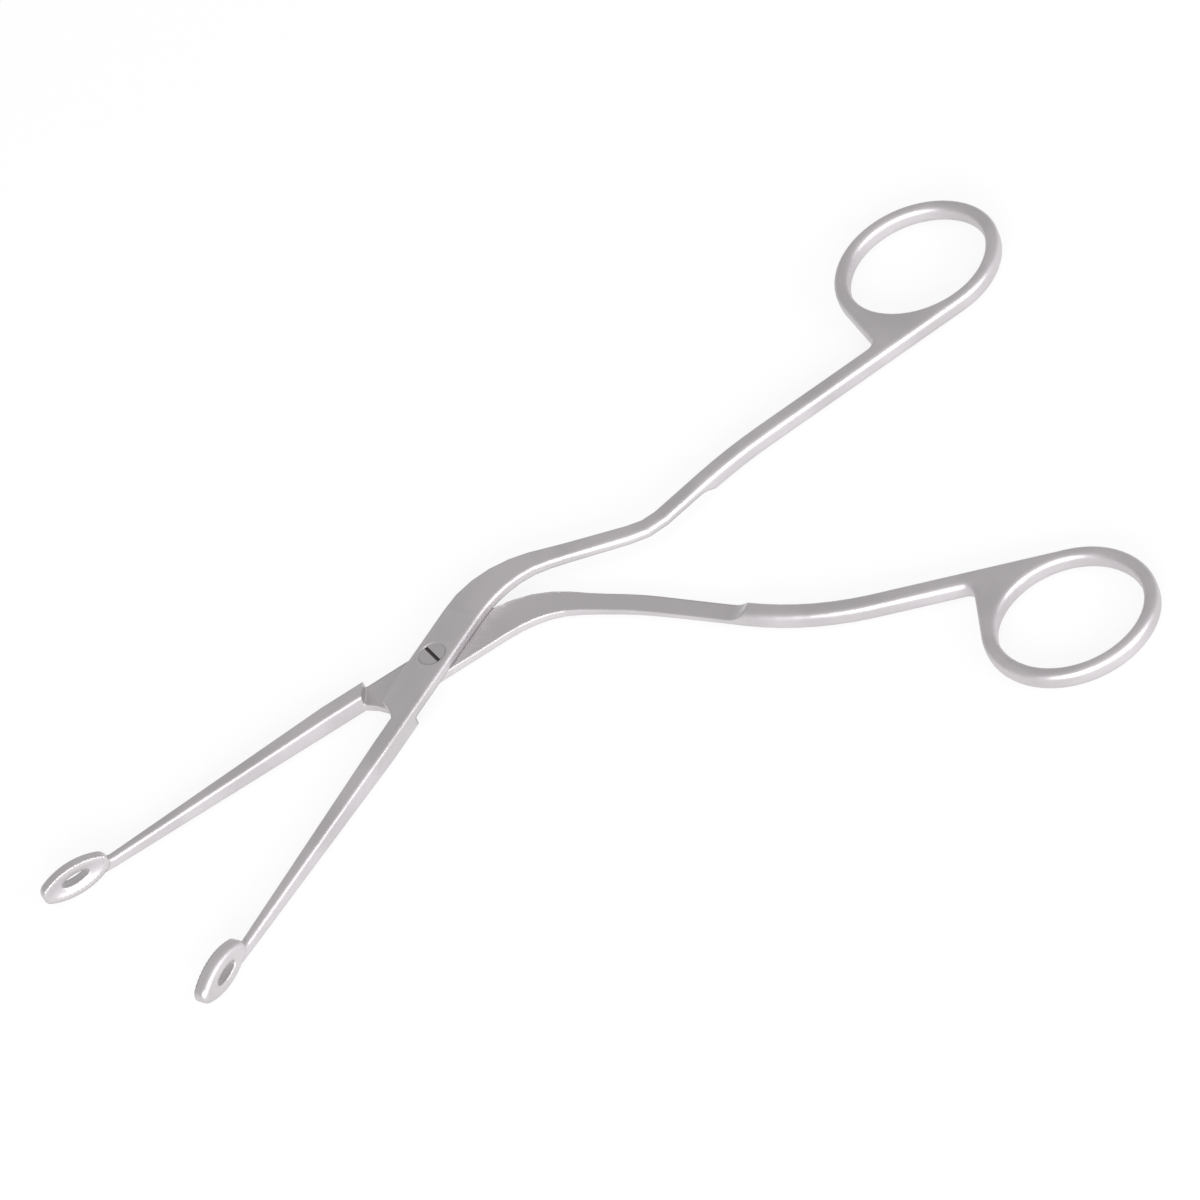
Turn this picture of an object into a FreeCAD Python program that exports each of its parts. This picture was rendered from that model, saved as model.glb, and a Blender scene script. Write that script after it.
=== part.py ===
import FreeCAD, Part
import math
import os

Vector = FreeCAD.Vector

# Magill forceps, millimetres. Two steel halves cross in a lap joint and turn on a slotted screw.
# The Z axis is the pivot axis and z = 0 is the underside of the joint. Jaws point to -X.
# Each half is laid out in the closed pose, where the jaws meet on y = 0, and is then turned
# by half of the opening angle to the rest pose.

# Lap joint
THICKNESS = 4.6          # full height of the joint and the jaw roots
LAP_GAP = 0.06           # running gap between the two lap faces
LAP_WIDTH = 9.2
LAP_EDGE = 0.7           # rounding of the outer edges
LAP_END = 12.0           # where the straight joint block runs into the shank
SHOULDER = 18.1          # jaw shoulder on the centre line, from the pivot
SHOULDER_GAP = 0.9       # room between a shoulder and the other half's block when closed
SHOULDER_SLANT = 30.0    # degrees, slant of the shoulders across the joint
SHOULDER_FILLET = 0.4
CROTCH_REACH = 1.0       # the corner between block and jaw is filled this far along the jaw
CROTCH_DROP = 1.8        # and this far across the block
OPEN_ANGLE = 31.0        # degrees between the halves in the rest pose

# Pivot screw
SCREW_HEAD = 6.0         # diameter
SCREW_HEAD_HEIGHT = 1.1
SCREW_SHANK = 3.4        # diameter that the upper half turns on
SCREW_THREAD = 2.9       # diameter held in the lower half
SCREW_FIT = 0.05         # radial running clearance
SCREW_FLOAT = 0.03       # axial clearance under the head
SLOT_WIDTH = 0.8
SLOT_DEPTH = 0.6
SLOT_ANGLE = 79.5        # degrees from +X at rest

# Fenestrated tips
TIP_REACH = 98.0         # pivot to the end of the tip
TIP_LENGTH = 16.2
TIP_HEIGHT = 7.8
TIP_ROUND = 0.62         # end radius of the oval, as a share of half its height
TIP_THICKNESS = 2.9
TIP_RISE = 1.5           # the oval's middle above the middle of the joint
TIP_MEETING_GAP = 0.05   # each gripping face to the meeting plane when closed
TIP_EDGE = 1.2           # rounding of the back
WINDOW_MARGIN = 4.8      # window to the ends of the tip
WINDOW_SIDE = 2.6       # window to the long sides of the tip
WINDOW_ROUND = 0.7
DISH_MARGIN = 1.2        # rim left round the hollow of the gripping face
DISH_DEPTH = 0.8
TOOTH_PITCH = 1.0
TOOTH_DEPTH = 0.12
TOOTH_WIDTH = 0.55

# Jaws
JAW_INSET = 0.45         # inner side of a jaw to the meeting plane
JAW_FULL = 26.0          # full height up to here, from the pivot; then the taper begins
NECK_LEAD = 0.8          # neck to the start of the oval tip
NECK_WIDTH = 2.2
NECK_HEIGHT = 2.9
NECK_DROP = 0.5          # the neck's middle below the middle of the joint
NECK_EDGE = 0.8
FLARE_LENGTH = 0.4       # share of the tip's length that the neck takes to spread behind it
FLARE_HEIGHT = 0.8      # share of the tip's height that it reaches there
FLARE_WIDTH = 0.7        # and share of the tip's thickness

# Shanks: each run has its length to the next corner, its heading and the radius of that corner.
FIRST_RUN = 24.5         # pivot to the first bend, the same in both halves
THUMB_RUNS = [(FIRST_RUN, 0.0, 23.0), (35.9, -54.3, 12.0), (25.1, -17.6, 106.0), (60.6, -27.0, 0.0)]
FINGER_RUNS = [(FIRST_RUN, 0.0, 23.0), (25.6, -46.4, 80.0), (41.5, -52.7, 69.0), (57.0, -28.0, 0.0)]
WAIST_WIDTH = 4.6        # width of the flat part of the shank
HANDLE_WIDTH = 4.3       # of the rounded part
HANDLE_HEIGHT = 4.4      # also that of the ring and its web
HANDLE_EDGE = 1.4        # rounding of the rounded part, its web and its ring
NARROWING = (14.0, 40.0)  # stations where the joint width has started and ended its narrowing
ROUNDING = (24.0, 66.0)  # stations where the edges have started and ended their rounding
THUMB_RUNOUT = 71.6      # station where the milled lap ends
FINGER_RUNOUT = 71.4
RUNOUT_RADIUS = 6.0
BEND_STEP = 4.0          # distance between sections in the bends
STRAIGHT_STEP = 9.0      # and where the shank is nearly straight
NEARLY_STRAIGHT = 1.8    # degrees over a bend step

# Finger rings: the sizes are those of the hole
RING_LENGTH = 32.0
RING_RATIO = 0.955       # width of the hole over its length
RING_ROUND = 0.9         # end radius of the oval, as a share of half its width
WIRE_WIDTH = 3.2
WEB_LEAN = 5.0           # degrees, flank of the web from the perpendicular to the shank
WEB_FILLET = 2.6
RING_STUB = 4.0          # straight shank before the web that belongs to the ring's plate

MIDDLE = THICKNESS / 2
HALF_LAP = LAP_WIDTH / 2
SLANT = math.tan(math.radians(SHOULDER_SLANT))
OVERSIZE = 20.0          # how far cutters reach past the metal
TOUCH = 1e-3             # distance at which two places count as one


def smooth(value, start, end):
    """Goes from 0 at start to 1 at end with level ends."""
    part = min(1.0, max(0.0, (value - start) / (end - start)))
    return part * part * (3 - 2 * part)


def mix(first, second, share):
    return first + (second - first) * share


def direction(degrees):
    return Vector(math.cos(math.radians(degrees)), math.sin(math.radians(degrees)), 0)


def left_of(degrees):
    return direction(degrees + 90)


def line(start, end):
    return Part.LineSegment(start, end).toShape()


def arc(start, middle, end):
    return Part.Arc(start, middle, end).toShape()


def prism(points, bottom, top):
    """Upright solid over a closed polygon of (x, y) points."""
    corners = [Vector(x, y, bottom) for x, y in points]
    face = Part.Face(Part.makePolygon(corners + corners[:1]))
    return face.extrude(Vector(0, 0, top - bottom)).Solids[0]


def rounded_section(centre, heading, width, height, edge):
    """Rounded rectangle standing across the heading, as a wire of four sides and four corners."""
    across = left_of(heading)
    up = Vector(0, 0, 1)
    corners = []
    for turn in range(4):
        sign_w = 1 if turn in (0, 3) else -1
        sign_h = 1 if turn in (0, 1) else -1
        hub = centre + across * (sign_w * (width / 2 - edge)) + up * (sign_h * (height / 2 - edge))
        rim = []
        for bearing in (90 * turn, 90 * turn + 45, 90 * turn + 90):
            angle = math.radians(bearing)
            rim.append(hub + across * (edge * math.cos(angle)) + up * (edge * math.sin(angle)))
        corners.append(rim)
    edges = []
    for turn in range(4):
        edges.append(arc(*corners[turn]))
        edges.append(line(corners[turn][2], corners[(turn + 1) % 4][0]))
    return Part.Wire(edges)


class Oval:
    """Oval of four tangent arcs about (0, 0), long along u, grown outwards by an even margin."""

    def __init__(self, length, width, share, margin=0.0):
        self.half = width / 2
        self.end = share * self.half
        self.reach = length / 2 - self.end
        self.side = (self.reach ** 2 + self.half ** 2 - self.end ** 2) / (2 * (self.half - self.end))
        self.join = math.degrees(math.atan2(self.side - self.half, self.reach))
        self.margin = margin

    def rim(self, bearing):
        """Point of the outline whose outward direction is at the bearing, in degrees."""
        cosine = math.cos(math.radians(bearing))
        sine = math.sin(math.radians(bearing))
        if abs(sine) <= math.sin(math.radians(self.join + TOUCH)):
            radius = self.end + self.margin
            return math.copysign(self.reach, cosine) + radius * cosine, radius * sine
        radius = self.side + self.margin
        return radius * cosine, math.copysign(self.side - self.half, -sine) + radius * sine

    def bend(self, start, end, place):
        """One arc of the outline between two bearings."""
        return arc(place(*self.rim(start)), place(*self.rim((start + end) / 2)), place(*self.rim(end)))

    def face(self, place):
        turns = [-self.join, self.join, 180 - self.join, 180 + self.join, 360 - self.join]
        bends = [self.bend(turns[i], turns[i + 1], place) for i in range(4)]
        return Part.Face(Part.Wire(bends))


def shank_pieces(runs):
    """Straight and round pieces of a shank's centre line: start, heading, length, turn."""
    pieces = []
    point = Vector(0, 0, MIDDLE)
    used = 0.0
    for index, (length, heading, radius) in enumerate(runs):
        turn = runs[index + 1][1] - heading if index + 1 < len(runs) else 0.0
        trimmed = radius * math.tan(math.radians(abs(turn)) / 2)
        straight = length - used - trimmed
        pieces.append((point, heading, straight, 0.0))
        point = point + direction(heading) * straight
        if turn:
            pieces.append((point, heading, radius * math.radians(abs(turn)), turn))
            side = math.copysign(1, turn)
            hub = point + left_of(heading) * (side * radius)
            point = hub - left_of(heading + turn) * (side * radius)
        used = trimmed
    return pieces


def shank_length(runs):
    return sum(piece[2] for piece in shank_pieces(runs))


def on_shank(runs, station):
    """Point and heading on the centre line, station millimetres from the pivot."""
    pieces = shank_pieces(runs)
    index = 0
    while index + 1 < len(pieces) and station > pieces[index][2]:
        station -= pieces[index][2]
        index += 1
    start, heading, length, turn = pieces[index]
    if not turn:
        return start + direction(heading) * station, heading
    share = turn * station / length
    side = math.copysign(1, turn)
    radius = length / math.radians(abs(turn))
    hub = start + left_of(heading) * (side * radius)
    return hub - left_of(heading + share) * (side * radius), heading + share


class RingPlace:
    """Local axes of a finger ring: u runs forwards along the shank, v outwards from it."""

    def __init__(self, runs, ring_side):
        end, heading = on_shank(runs, shank_length(runs))
        self.hole = Oval(RING_LENGTH, RING_LENGTH * RING_RATIO, RING_ROUND)
        self.rim = Oval(RING_LENGTH, RING_LENGTH * RING_RATIO, RING_ROUND, WIRE_WIDTH)
        self.along = direction(heading)
        self.across = left_of(heading) * ring_side
        self.shank_low = -self.hole.half - WIRE_WIDTH
        self.shank_high = self.shank_low + HANDLE_WIDTH
        self.centre = end - self.across * (self.shank_low + HANDLE_WIDTH / 2)
        lean = math.radians(WEB_LEAN)
        touch = self.rim.rim(180 - WEB_LEAN)
        drop = touch[1] + WEB_FILLET * math.sin(lean) - self.shank_high - WEB_FILLET
        length = drop / math.cos(lean)
        self.flank = (touch[0] - length * math.sin(lean), touch[1] - length * math.cos(lean))
        hub_u = self.flank[0] - WEB_FILLET * math.cos(lean)
        hub_v = self.flank[1] + WEB_FILLET * math.sin(lean)
        bow = math.radians(-45 - WEB_LEAN / 2)
        self.bow = (hub_u + WEB_FILLET * math.cos(bow), hub_v + WEB_FILLET * math.sin(bow))
        self.foot = (hub_u, self.shank_high)
        self.start = hub_u - RING_STUB

    def point(self, u, v):
        level = Vector(0, 0, -HANDLE_HEIGHT / 2)
        return self.centre + self.along * u + self.across * v + level


def ring_plate(runs, ring_side):
    """Finger ring, its web and the shank beside it, with one rounding round every edge."""
    ring = RingPlace(runs, ring_side)
    place = ring.point
    join = ring.rim.join
    flank_bearing = 180 - WEB_LEAN
    turns = [-90, -join, join, 180 - join, flank_bearing]
    edges = [ring.rim.bend(turns[i], turns[i + 1], place) for i in range(4)]
    edges.append(line(place(*ring.rim.rim(flank_bearing)), place(*ring.flank)))
    edges.append(arc(place(*ring.flank), place(*ring.bow), place(*ring.foot)))
    edges.append(line(place(*ring.foot), place(ring.start, ring.shank_high)))
    edges.append(line(place(ring.start, ring.shank_high), place(ring.start, ring.shank_low)))
    edges.append(line(place(ring.start, ring.shank_low), place(*ring.rim.rim(-90))))
    outline = Part.Face(Part.Wire(edges)).cut(ring.hole.face(place))
    plate = outline.extrude(Vector(0, 0, HANDLE_HEIGHT)).Solids[0]
    stub_end = place(ring.start, 0.0)
    rims = []
    for edge in plate.Edges:
        level = edge.BoundBox.ZLength < TOUCH
        at_stub = abs((edge.CenterOfMass - stub_end).dot(ring.along)) < TOUCH
        if level and not at_stub:
            rims.append(edge)
    return plate.makeFillet(HANDLE_EDGE, rims).Solids[0]


def shank(runs, ring_side):
    """Flat shank that leaves the joint, narrows and rounds its edges up to the ring's plate."""
    ring = RingPlace(runs, ring_side)
    finish = shank_length(runs) + ring.start
    stations = [LAP_END]
    while stations[-1] < finish:
        here = on_shank(runs, stations[-1])[1]
        turning = abs(on_shank(runs, stations[-1] + BEND_STEP)[1] - here) > NEARLY_STRAIGHT
        changing = stations[-1] < ROUNDING[1]
        step = BEND_STEP if turning else STRAIGHT_STEP / 2 if changing else STRAIGHT_STEP
        stations.append(min(stations[-1] + step, finish))
    wires = []
    for station in stations:
        point, heading = on_shank(runs, station)
        rounding = smooth(station, *ROUNDING)
        waist = mix(LAP_WIDTH, WAIST_WIDTH, smooth(station, *NARROWING))
        width = mix(waist, HANDLE_WIDTH, rounding)
        height = mix(THICKNESS, HANDLE_HEIGHT, rounding)
        wires.append(rounded_section(point, heading, width, height, mix(LAP_EDGE, HANDLE_EDGE, rounding)))
    return Part.makeLoft(wires, True, True)


def joint_block(side):
    """Block round the pivot with the root of the jaw; side is -1 where the jaw lies at -Y."""
    nose = SHOULDER - SHOULDER_GAP
    inner = side * JAW_INSET
    outer = side * HALF_LAP
    points = [
        (LAP_END, outer),
        (-JAW_FULL, outer),
        (-JAW_FULL, inner),
        (-nose - CROTCH_REACH, inner),
        (-nose + CROTCH_DROP * SLANT, -side * CROTCH_DROP),
        (-nose + HALF_LAP * SLANT, -outer),
        (LAP_END, -outer),
    ]
    block = prism(points, 0.0, THICKNESS)
    rims = []
    for edge in block.Edges:
        level = edge.BoundBox.ZLength < TOUCH
        across = edge.BoundBox.XLength < TOUCH
        if level and not across:
            rims.append(edge)
    return block.makeFillet(LAP_EDGE, rims).Solids[0]


def jaw(side):
    """Blade that tapers to the neck and spreads again behind the tip."""
    neck = TIP_REACH - TIP_LENGTH - NECK_LEAD
    wires = []
    for share in (0.0, 0.5, 1.0):
        outer = mix(HALF_LAP, JAW_INSET + NECK_WIDTH, share)
        height = mix(THICKNESS, NECK_HEIGHT, share)
        middle = MIDDLE - NECK_DROP * share
        centre = Vector(-mix(JAW_FULL, neck, share), side * (JAW_INSET + outer) / 2, middle)
        edge = mix(LAP_EDGE, NECK_EDGE, share)
        wires.append(rounded_section(centre, 180.0, outer - JAW_INSET, height, edge))
    for share in (0.35, 0.7, 1.0):
        spread = smooth(share, 0.0, 1.0)
        width = mix(NECK_WIDTH, TIP_THICKNESS * FLARE_WIDTH, spread)
        height = mix(NECK_HEIGHT, TIP_HEIGHT * FLARE_HEIGHT, spread)
        depth = mix(JAW_INSET + NECK_WIDTH / 2, TIP_MEETING_GAP + TIP_THICKNESS / 2, spread)
        place = neck + share * (NECK_LEAD + FLARE_LENGTH * TIP_LENGTH)
        centre = Vector(-place, side * depth, MIDDLE + mix(-NECK_DROP, TIP_RISE, spread))
        wires.append(rounded_section(centre, 180.0, width, height, NECK_EDGE))
    return Part.makeLoft(wires, True, True)


def tip_face(side, depth, length, height, share):
    """Oval across the plane of the forceps, at a depth from the meeting plane."""
    middle = TIP_REACH - TIP_LENGTH / 2

    def place(u, v):
        return Vector(u - middle, side * depth, MIDDLE + TIP_RISE + v)

    return Oval(length, height, share).face(place)


def tip_plate(side):
    """Oval plate with a rounded back."""
    face = tip_face(side, TIP_MEETING_GAP, TIP_LENGTH, TIP_HEIGHT, TIP_ROUND)
    plate = face.extrude(Vector(0, side * TIP_THICKNESS, 0)).Solids[0]
    back = side * (TIP_MEETING_GAP + TIP_THICKNESS)
    rims = [edge for edge in plate.Edges if abs(edge.CenterOfMass.y - back) < TOUCH]
    return plate.makeFillet(TIP_EDGE, rims).Solids[0]


def tip_cutters(side):
    """Window through the tip, hollow of the gripping face and its cross teeth."""
    window_length = TIP_LENGTH - 2 * WINDOW_MARGIN
    window_height = TIP_HEIGHT - 2 * WINDOW_SIDE
    window = tip_face(side, -OVERSIZE, window_length, window_height, WINDOW_ROUND)
    window = window.extrude(Vector(0, side * 2 * OVERSIZE, 0))

    half_length = TIP_LENGTH / 2 - DISH_MARGIN
    half_height = TIP_HEIGHT / 2 - DISH_MARGIN
    wheel = (half_length ** 2 + DISH_DEPTH ** 2) / (2 * DISH_DEPTH)
    crown = (half_height ** 2 + DISH_DEPTH ** 2) / (2 * DISH_DEPTH)
    middle = TIP_REACH - TIP_LENGTH / 2
    hub = Vector(-middle, side * (TIP_MEETING_GAP + DISH_DEPTH - wheel), MIDDLE + TIP_RISE)
    dish = Part.makeTorus(wheel - crown, crown, hub)

    cutters = [window, dish]
    mouth = side * (TIP_MEETING_GAP - TOOTH_DEPTH)
    root = side * (TIP_MEETING_GAP + TOOTH_DEPTH)
    for index in range(int(TIP_LENGTH / TOOTH_PITCH) - 1):
        x = -TIP_REACH + (index + 1.25) * TOOTH_PITCH
        groove = prism([(x - TOOTH_WIDTH, mouth), (x + TOOTH_WIDTH, mouth), (x, root)], 0, OVERSIZE)
        groove.translate(Vector(0, 0, MIDDLE + TIP_RISE - OVERSIZE / 2))
        cutters.append(groove)
    return cutters


def lap_cutters(runs, runout, side, upper):
    """Space of the other half in the joint; side is the jaw side of the half that is cut."""
    point, heading = on_shank(runs, runout)
    across = left_of(heading) * (OVERSIZE / 2)
    left = point + across
    right = point - across
    lean = side * OVERSIZE / 2 * SLANT
    points = [
        (-SHOULDER - lean, -OVERSIZE / 2),
        (-SHOULDER + lean, OVERSIZE / 2),
        (FIRST_RUN + OVERSIZE, OVERSIZE / 2),
        (left.x, left.y),
        (right.x, right.y),
        (FIRST_RUN, -OVERSIZE),
    ]
    away = -1 if upper else 1
    floor = MIDDLE - away * LAP_GAP / 2
    far = floor + away * OVERSIZE
    space = prism(points, min(floor, far), max(floor, far))
    seat = []
    for edge in space.Edges:
        on_floor = edge.BoundBox.ZLength < TOUCH and abs(edge.CenterOfMass.z - floor) < TOUCH
        if on_floor and abs(edge.CenterOfMass.x + SHOULDER) < TOUCH:
            seat.append(edge)
    space = space.makeFillet(SHOULDER_FILLET, seat).Solids[0]
    hub = Vector(right.x, right.y, floor + away * RUNOUT_RADIUS)
    roller = Part.makeCylinder(RUNOUT_RADIUS, OVERSIZE, hub, across)
    return [space, roller]


def half(runs, runout, side, upper):
    """One half of the forceps in the closed pose, from tip to finger ring."""
    ring_side = -side
    metal = joint_block(side)
    for piece in (jaw(side), tip_plate(side), shank(runs, ring_side), ring_plate(runs, ring_side)):
        metal = metal.fuse(piece)
    for cutter in lap_cutters(runs, runout, side, upper) + tip_cutters(side):
        metal = metal.cut(cutter)
    return metal


def pivot_screw():
    """Slotted screw, flush with the upper half and threaded into the lower half."""
    seat = MIDDLE - LAP_GAP / 2
    under_head = THICKNESS - SCREW_HEAD_HEIGHT
    screw = Part.makeCylinder(SCREW_THREAD / 2, seat)
    screw = screw.fuse(Part.makeCylinder(SCREW_SHANK / 2, under_head - seat, Vector(0, 0, seat)))
    screw = screw.fuse(Part.makeCylinder(SCREW_HEAD / 2, SCREW_HEAD_HEIGHT, Vector(0, 0, under_head)))
    slot = Part.makeBox(OVERSIZE, SLOT_WIDTH, OVERSIZE)
    slot.translate(Vector(-OVERSIZE / 2, -SLOT_WIDTH / 2, THICKNESS - SLOT_DEPTH))
    slot.rotate(Vector(0, 0, 0), Vector(0, 0, 1), SLOT_ANGLE)
    return screw.cut(slot)


def thumb_half():
    """Upper half: its lap lies over the lower one, its ring is on the +Y side."""
    metal = half(THUMB_RUNS, THUMB_RUNOUT, -1, True)
    bore = Part.makeCylinder(SCREW_SHANK / 2 + SCREW_FIT, THICKNESS)
    seat = THICKNESS - SCREW_HEAD_HEIGHT - SCREW_FLOAT
    head_bore = Part.makeCylinder(SCREW_HEAD / 2 + SCREW_FIT, OVERSIZE, Vector(0, 0, seat))
    return metal.cut(bore).cut(head_bore)


def finger_half():
    """Lower half: it holds the thread of the screw, its ring is on the -Y side."""
    metal = half(FINGER_RUNS, FINGER_RUNOUT, 1, False)
    return metal.cut(Part.makeCylinder(SCREW_THREAD / 2, THICKNESS))


def write(name, shape, turn):
    shape.rotate(Vector(0, 0, 0), Vector(0, 0, 1), turn)
    print(name, "valid", shape.isValid(), "solids", len(shape.Solids), "volume", round(shape.Volume, 2))
    shape.exportStep("parts/%s.step" % name)


os.makedirs("parts", exist_ok=True)
write("thumb_half", thumb_half(), OPEN_ANGLE / 2)
write("finger_half", finger_half(), -OPEN_ANGLE / 2)
write("pivot_screw", pivot_screw(), 0.0)
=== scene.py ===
import bpy
from mathutils import Matrix, Vector

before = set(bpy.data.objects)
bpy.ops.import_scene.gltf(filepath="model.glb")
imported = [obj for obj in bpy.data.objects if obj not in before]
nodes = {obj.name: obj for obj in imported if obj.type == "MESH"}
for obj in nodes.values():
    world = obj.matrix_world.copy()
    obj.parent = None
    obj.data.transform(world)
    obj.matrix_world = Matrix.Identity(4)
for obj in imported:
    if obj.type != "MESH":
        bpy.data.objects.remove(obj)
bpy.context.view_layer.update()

# Camera: metres and directions in the part's frame, focal length for a 36 mm sensor
SENSOR = 36.0
LOOK_AT = Vector((0.0316, -0.0207, 0.0023))
CAMERA_SIDE = Vector((-0.3124, -0.6707, 0.6728))
CAMERA_UP = Vector((0.6508, 0.3648, 0.6659))
CAMERA_DISTANCE = 1.68
FOCAL = 235.9

# Studio
FLOOR_SIZE = 8.0
FLOOR_DROP = 0.0006      # floor below the origin, clear of the part's lowest point
FLOOR_COLOUR = (0.9, 0.9, 0.9, 1.0)
WHITE = (1.0, 1.0, 1.0, 1.0)
BACKGROUND = 1.0
SHADOW_SHARE = 0.16      # how much of the floor's own shading the camera sees
WORLD_LIGHT = 0.8        # what the sky gives to matt surfaces
SKY_MIRRORED = 0.6       # and what it shows in the steel

# Softboxes: place, target, width, height, power in watts
KEY_LIGHT = ((-0.9, -1.0, 0.45), (0.0, 0.0, 0.0), 0.9, 0.6, 18.0)
SIDE_LIGHT = ((0.4, -1.3, 0.35), (0.05, -0.03, 0.0), 1.0, 0.5, 12.0)

# Levels of the part, in metres
LAP_LEVEL = 0.0031       # flat steel below this is the milled lap, darkened partly for its milled finish and partly as painted shade in the recess
HEAD_TOP = 0.0046        # top of the screw's head
EDGE_SOFTNESS = 0.0008   # radius to which polishing has rounded the edges
MILLED_AND_SHADE_FADE = 0.9        # share of LAP_LEVEL at which the milled tone and the painted recess shade are full

# Matted steel of the halves; the levels are values of the noise, from 0 to 1
STEEL = (0.585, 0.558, 0.574)
# tone of the lap floor: partly its milled finish, partly painted shade of the recess under the
# other half
MILLED_AND_SHADE = (0.53, 0.498, 0.512)
WORN = (0.68, 0.67, 0.675)
MATT_METALLIC = 0.9
MATT_ROUGHNESS = 0.42
CLOUD_SHADES = (0.94, 1.05)         # darkest and lightest share of the base colour
CLOUD_ROUGHNESS = (-0.03, 0.04)     # lowest and highest change of the roughness
CLOUD_LEVELS = (0.35, 0.65)
CLOUD_ROUGH_LEVELS = (0.3, 0.7)
CLOUD_SCALE = 60.0
CLOUD_DETAIL = 3.0
GRAIN_SCALE = 5200.0
GRAIN_DETAIL = 2.0
BRUSHING_SCALE = 700.0
BRUSHING_DETAIL = 4.0
BRUSHING_STRETCH = (0.12, 1.0, 1.0)
BRUSHING_ROUGHNESS = 0.05
BRUSHING_HEIGHT = 0.4    # height of the brushing as a share of the grain's
MATT_BUMP = 0.22
MATT_BUMP_DISTANCE = 0.00004
FLAT_FACING = (0.97, 0.995)         # upward part of the normal on a level face
EDGE_POINTINESS = (0.52, 0.60)
EDGE_SAMPLES = 6
MILLED_AND_SHADE_SHARE = 0.8
WORN_SHARE = 0.25
WORN_POLISH = 0.08

# Sockets of a mix node: the numbers or colours that it goes between, and the mixed colour
NUMBER_A, NUMBER_B = 2, 3
COLOUR_A, COLOUR_B = 6, 7
MIXED_COLOUR = 2

# Turned steel of the screw
# painted shade: near-black colour for the screw's slot, standing in for the shade inside it
SLOT_SHADE = (0.10, 0.088, 0.094)
SLOT_SHADE_DEPTHS = (0.00002, 0.00015)    # below the head's top, where the painted shade of the slot starts and is full
RING_SHADES = (0.92, 1.04)
RING_SCALE = 900.0
RING_DISTORTION = 0.6
RING_DETAIL = 2.0
RING_ROUGHNESS = (0.30, 0.38)
TURNED_BUMP = 0.15
TURNED_BUMP_DISTANCE = 0.00003


def link(tree, source, output, target, socket):
    tree.links.new(source.outputs[output], target.inputs[socket])


def add(tree, kind, **values):
    """New shader node; a value whose name is a socket sets that socket, any other a property."""
    node = tree.nodes.new(kind)
    for key, value in values.items():
        name = key.replace("_", " ")
        if name in node.inputs:
            node.inputs[name].default_value = value
        else:
            setattr(node, key, value)
    return node


def math_node(tree, operation, first, second):
    """Result of a sum on two numbers or sockets."""
    node = add(tree, "ShaderNodeMath", operation=operation)
    for index, value in enumerate((first, second)):
        if isinstance(value, float):
            node.inputs[index].default_value = value
        else:
            tree.links.new(value, node.inputs[index])
    return node.outputs[0]


def band(tree, value, low, high, to_low=0.0, to_high=1.0):
    """Smooth step of a value between two levels."""
    node = add(tree, "ShaderNodeMapRange", interpolation_type="SMOOTHSTEP")
    for index, number in enumerate((low, high, to_low, to_high)):
        node.inputs[index + 1].default_value = number
    tree.links.new(value, node.inputs[0])
    return node.outputs[0]


def mix_colour(tree, share, first, second):
    """Goes from the first colour or socket to the second as share goes from 0 to 1."""
    node = add(tree, "ShaderNodeMix", data_type="RGBA")
    tree.links.new(share, node.inputs[0])
    for index, value in ((COLOUR_A, first), (COLOUR_B, second)):
        if isinstance(value, tuple):
            node.inputs[index].default_value = (*value, 1.0)
        else:
            tree.links.new(value, node.inputs[index])
    return node.outputs[MIXED_COLOUR]


def shade(colour, share):
    return tuple(share * channel for channel in colour)


def axis(tree, source, output, name):
    """One coordinate of a vector that a node gives out."""
    parts = tree.nodes.new("ShaderNodeSeparateXYZ")
    link(tree, source, output, parts, 0)
    return parts.outputs[name]


def noise(tree, place, scale, detail, stretch=(1.0, 1.0, 1.0)):
    """Noise in the part's frame; a stretch under 1 draws it out along that axis."""
    mapping = add(tree, "ShaderNodeMapping", Scale=stretch)
    link(tree, place, "Object", mapping, "Vector")
    texture = add(tree, "ShaderNodeTexNoise", Scale=scale, Detail=detail)
    link(tree, mapping, "Vector", texture, "Vector")
    return texture.outputs["Fac"]


def new_metal(name, metallic):
    """Material with its tree, its shader and the node that gives places in the part's frame."""
    material = bpy.data.materials.new(name)
    material.use_nodes = True
    tree = material.node_tree
    shader = tree.nodes["Principled BSDF"]
    shader.inputs["Metallic"].default_value = metallic
    return material, tree, shader, tree.nodes.new("ShaderNodeTexCoord")


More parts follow.
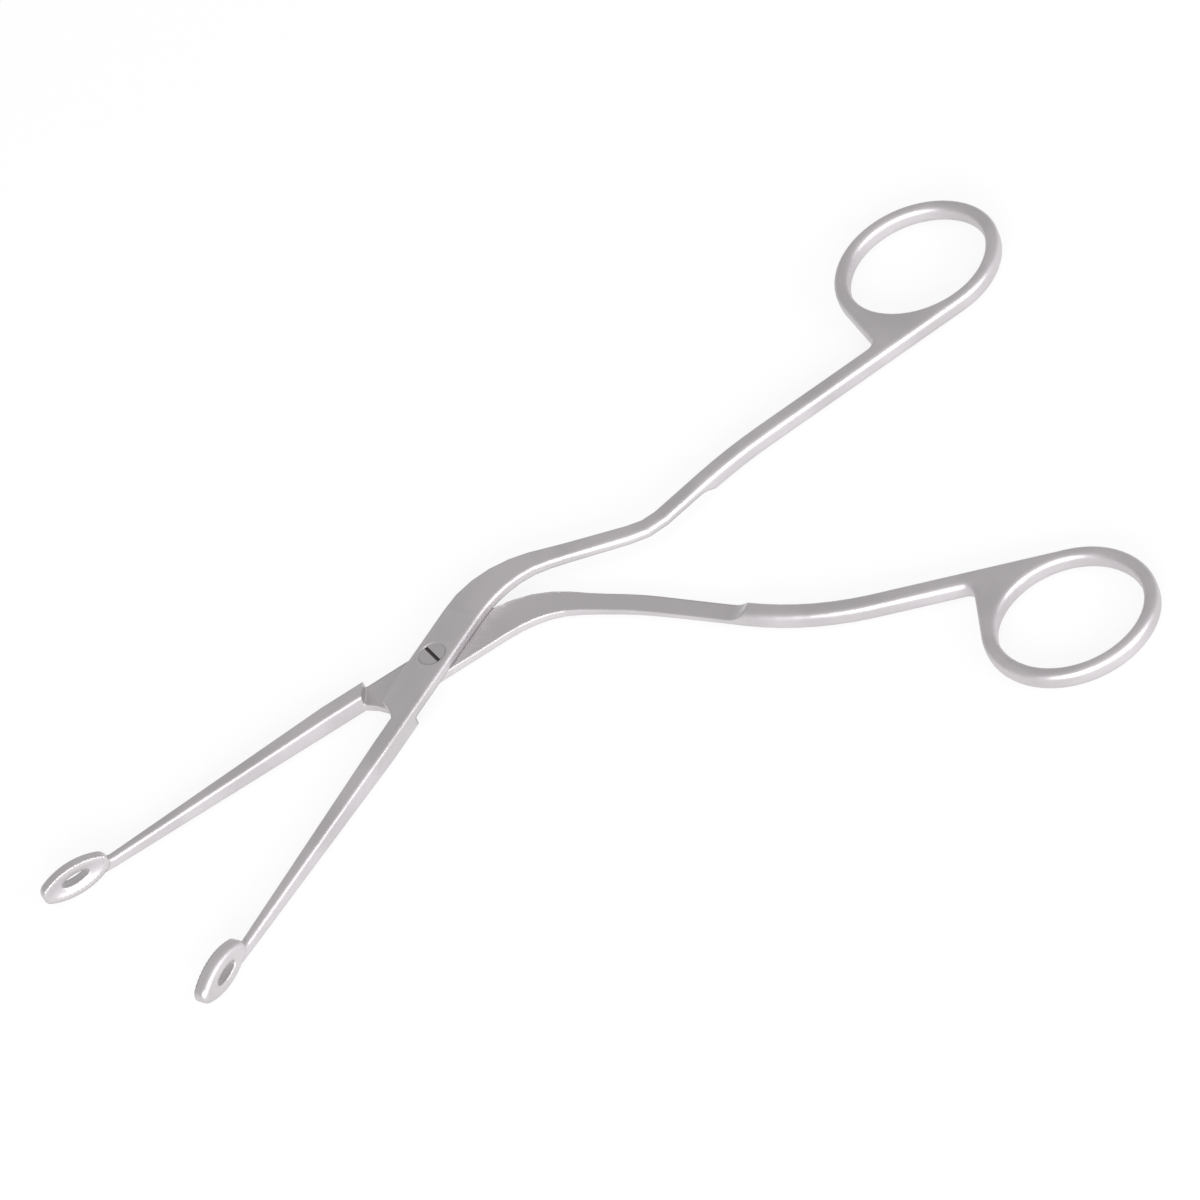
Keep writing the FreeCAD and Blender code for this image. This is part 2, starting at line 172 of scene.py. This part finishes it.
def matted_steel():
    """Bead-blasted grain, faint brushing, clouded tone, a darker milled lap that is partly painted
    recess shade, and a soft polish on the worn edges.
    """
    material, tree, shader, place = new_metal("matted_steel", MATT_METALLIC)
    geometry = tree.nodes.new("ShaderNodeNewGeometry")
    cloud = noise(tree, place, CLOUD_SCALE, CLOUD_DETAIL)
    grain = noise(tree, place, GRAIN_SCALE, GRAIN_DETAIL)
    brushing = noise(tree, place, BRUSHING_SCALE, BRUSHING_DETAIL, BRUSHING_STRETCH)

    height = axis(tree, place, "Object", "Z")
    low = band(tree, height, LAP_LEVEL, LAP_LEVEL * MILLED_AND_SHADE_FADE)
    flat = band(tree, axis(tree, geometry, "Normal", "Z"), *FLAT_FACING)
    shaded_recess = math_node(tree, "MULTIPLY", low, flat)
    edge = band(tree, geometry.outputs["Pointiness"], *EDGE_POINTINESS)

    dark, light = (shade(STEEL, share) for share in CLOUD_SHADES)
    colour = mix_colour(tree, band(tree, cloud, *CLOUD_LEVELS), dark, light)
    # upward faces below LAP_LEVEL get the darker tone: partly milled finish, partly painted shade
    # in the recess
    colour = mix_colour(tree, math_node(tree, "MULTIPLY", shaded_recess, MILLED_AND_SHADE_SHARE), colour, MILLED_AND_SHADE)
    colour = mix_colour(tree, math_node(tree, "MULTIPLY", edge, WORN_SHARE), colour, WORN)
    tree.links.new(colour, shader.inputs["Base Color"])

    smoothest, roughest = (MATT_ROUGHNESS + change for change in CLOUD_ROUGHNESS)
    rough = band(tree, cloud, *CLOUD_ROUGH_LEVELS, smoothest, roughest)
    brushed = math_node(tree, "MULTIPLY", brushing, BRUSHING_ROUGHNESS)
    rough = math_node(tree, "ADD", rough, brushed)
    rough = math_node(tree, "SUBTRACT", rough, math_node(tree, "MULTIPLY", edge, WORN_POLISH))
    tree.links.new(rough, shader.inputs["Roughness"])

    lines = math_node(tree, "MULTIPLY", brushing, BRUSHING_HEIGHT)
    soft = add(tree, "ShaderNodeBevel", Radius=EDGE_SOFTNESS, samples=EDGE_SAMPLES)
    bump = add(tree, "ShaderNodeBump", Strength=MATT_BUMP, Distance=MATT_BUMP_DISTANCE)
    tree.links.new(math_node(tree, "ADD", grain, lines), bump.inputs["Height"])
    link(tree, soft, "Normal", bump, "Normal")
    link(tree, bump, "Normal", shader, "Normal")
    return material


def turned_steel():
    """Rings about the screw's axis, polished a little brighter than the halves, and painted shade
    in the slot.
    """
    material, tree, shader, place = new_metal("screw_steel", 1.0)
    rings = add(
        tree,
        "ShaderNodeTexWave",
        wave_type="RINGS",
        rings_direction="Z",
        Scale=RING_SCALE,
        Distortion=RING_DISTORTION,
        Detail=RING_DETAIL,
    )
    link(tree, place, "Object", rings, "Vector")
    dark, light = (shade(STEEL, share) for share in RING_SHADES)
    colour = mix_colour(tree, rings.outputs["Fac"], dark, light)
    # everything below the head's top, the slot above all, gets painted shade
    start, full = (HEAD_TOP - depth for depth in SLOT_SHADE_DEPTHS)
    slot_shade = band(tree, axis(tree, place, "Object", "Z"), start, full)
    tree.links.new(mix_colour(tree, slot_shade, colour, SLOT_SHADE), shader.inputs["Base Color"])
    rough = band(tree, rings.outputs["Fac"], 0.0, 1.0, *RING_ROUGHNESS)
    tree.links.new(rough, shader.inputs["Roughness"])
    bump = add(tree, "ShaderNodeBump", Strength=TURNED_BUMP, Distance=TURNED_BUMP_DISTANCE)
    link(tree, rings, "Fac", bump, "Height")
    link(tree, bump, "Normal", shader, "Normal")
    return material


def use(node, material):
    mesh = nodes[node].data
    mesh.materials.clear()
    mesh.materials.append(material)


def seen_directly(tree):
    """1 for rays from the camera, from gloss and through glass."""
    path = tree.nodes.new("ShaderNodeLightPath")
    camera_or_gloss = math_node(
        tree, "MAXIMUM", path.outputs["Is Camera Ray"], path.outputs["Is Glossy Ray"]
    )
    return math_node(tree, "MAXIMUM", camera_or_gloss, path.outputs["Is Transmission Ray"])


def make_world():
    """White to the camera, softer in the steel, and the fill light for everything else."""
    world = bpy.data.worlds.new("studio")
    bpy.context.scene.world = world
    world.use_nodes = True
    tree = world.node_tree
    background = tree.nodes["Background"]
    background.inputs["Color"].default_value = WHITE
    path = tree.nodes.new("ShaderNodeLightPath")
    mirrored = band(tree, path.outputs["Is Glossy Ray"], 0.0, 1.0, WORLD_LIGHT, SKY_MIRRORED)
    level = tree.nodes.new("ShaderNodeMix")
    level.inputs[NUMBER_B].default_value = BACKGROUND
    tree.links.new(path.outputs["Is Camera Ray"], level.inputs[0])
    tree.links.new(mirrored, level.inputs[NUMBER_A])
    tree.links.new(level.outputs[0], background.inputs["Strength"])
    link(tree, background, "Background", tree.nodes["World Output"], "Surface")


def make_floor():
    """White floor that keeps a share of the part's soft shadow."""
    half = FLOOR_SIZE / 2
    turns = ((-half, -half), (half, -half), (half, half), (-half, half))
    mesh = bpy.data.meshes.new("floor")
    mesh.from_pydata([(x, y, -FLOOR_DROP) for x, y in turns], [], [(0, 1, 2, 3)])
    floor = bpy.data.objects.new("floor", mesh)
    bpy.context.scene.collection.objects.link(floor)
    material = bpy.data.materials.new("floor_white")
    material.use_nodes = True
    tree = material.node_tree
    tree.nodes.remove(tree.nodes["Principled BSDF"])
    diffuse = add(tree, "ShaderNodeBsdfDiffuse", Color=FLOOR_COLOUR)
    glow = add(tree, "ShaderNodeEmission", Color=WHITE, Strength=BACKGROUND)
    blend = tree.nodes.new("ShaderNodeMixShader")
    share = math_node(tree, "MULTIPLY", seen_directly(tree), 1.0 - SHADOW_SHARE)
    tree.links.new(share, blend.inputs[0])
    link(tree, diffuse, "BSDF", blend, 1)
    link(tree, glow, "Emission", blend, 2)
    link(tree, blend, "Shader", tree.nodes["Material Output"], "Surface")
    mesh.materials.append(material)


def aim(obj, place, target, up):
    """Puts an object at place, with its -Z axis towards target and its +Y axis near up."""
    back = (place - target).normalized()
    side = up.cross(back).normalized()
    top = back.cross(side)
    rotation = Matrix((side, top, back)).transposed().to_4x4()
    obj.matrix_world = Matrix.Translation(place) @ rotation


def softbox(name, place, target, width, height, power):
    data = bpy.data.lights.new(name, "AREA")
    data.shape = "RECTANGLE"
    data.size = width
    data.size_y = height
    data.energy = power
    lamp = bpy.data.objects.new(name, data)
    bpy.context.scene.collection.objects.link(lamp)
    aim(lamp, Vector(place), Vector(target), Vector((0.0, 0.0, 1.0)))


def make_camera():
    data = bpy.data.cameras.new("camera")
    data.sensor_width = SENSOR
    data.lens = FOCAL
    camera = bpy.data.objects.new("camera", data)
    bpy.context.scene.collection.objects.link(camera)
    place = LOOK_AT + CAMERA_DISTANCE * CAMERA_SIDE.normalized()
    aim(camera, place, LOOK_AT, CAMERA_UP)
    bpy.context.scene.camera = camera


half_steel = matted_steel()
use("thumb_half", half_steel)
use("finger_half", half_steel)
use("pivot_screw", turned_steel())
make_world()
make_floor()
softbox("key", *KEY_LIGHT)
softbox("side", *SIDE_LIGHT)
make_camera()
bpy.context.scene.view_settings.view_transform = "Standard"
